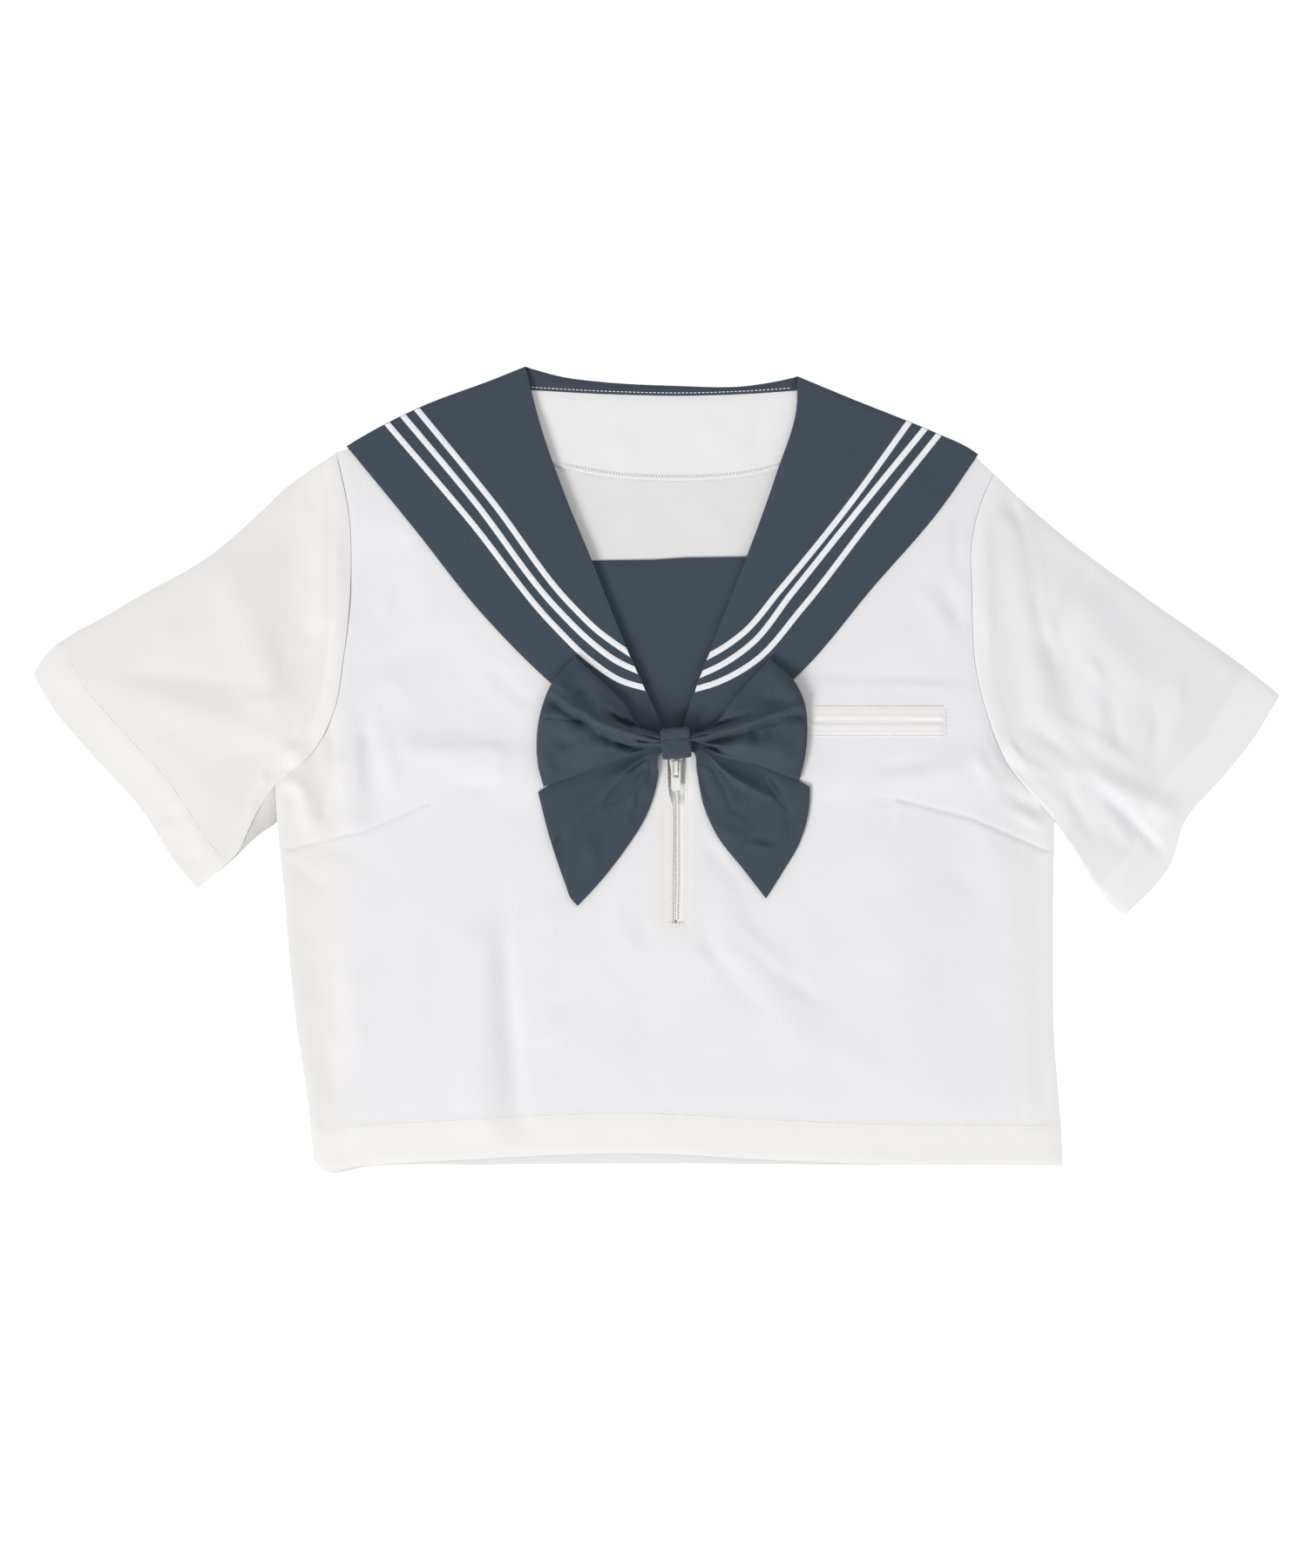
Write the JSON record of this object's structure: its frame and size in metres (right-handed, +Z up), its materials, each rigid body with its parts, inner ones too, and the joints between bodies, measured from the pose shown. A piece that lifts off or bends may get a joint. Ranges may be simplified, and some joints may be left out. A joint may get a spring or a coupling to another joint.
{
  "type": "sailor uniform blouse",
  "caption": "Short sailor uniform blouse with striped sailor collar, chest zip and pleated bow, laid flat and face up.",
  "frame": {"origin": "middle of the bounding box on the surface that the garment lies on", "axes": "+X to the wearer's left, +Y from hem to neck, +Z up from the surface"},
  "size_m": [0.7675, 0.4956, 0.0203],
  "materials": {
    "white_cloth": "matte plain weave",
    "slate_cloth": "matte twill",
    "white_tape": "braided tape",
    "white_nylon": "satin",
    "white_enamel": "gloss"
  },
  "bodies": {
    "garment": {"back_panel": "white_cloth", "front_panel": "white_cloth", "sleeve_right": "white_cloth", "sleeve_left": "white_cloth", "neck_facing": "white_cloth", "chest_insert": "slate_cloth", "collar": "slate_cloth", "collar_tape_outer_right": "white_tape", "collar_tape_middle_right": "white_tape", "collar_tape_inner_right": "white_tape", "collar_tape_outer_left": "white_tape", "collar_tape_middle_left": "white_tape", "collar_tape_inner_left": "white_tape", "pocket_welt_upper": "white_cloth", "pocket_welt_lower": "white_cloth", "bow_knot": "slate_cloth", "bow_loop_right": "slate_cloth", "bow_loop_left": "slate_cloth", "bow_tail_right": "slate_cloth", "bow_tail_left": "slate_cloth", "zip_tape_right": "white_cloth", "zip_tape_left": "white_cloth", "zip_coil": "white_nylon", "zip_slider": "white_enamel"},
    "zip_pull": {"zip_pull": "white_enamel"}
  },
  "joints": [
    {"name": "pull_tab", "type": "hinge", "parent": "garment", "child": "zip_pull", "pos_m": [0.0118, 0.0034, 0.00745], "axis": [-1, 0, 0], "range_deg": [0, 90]}
  ]
}
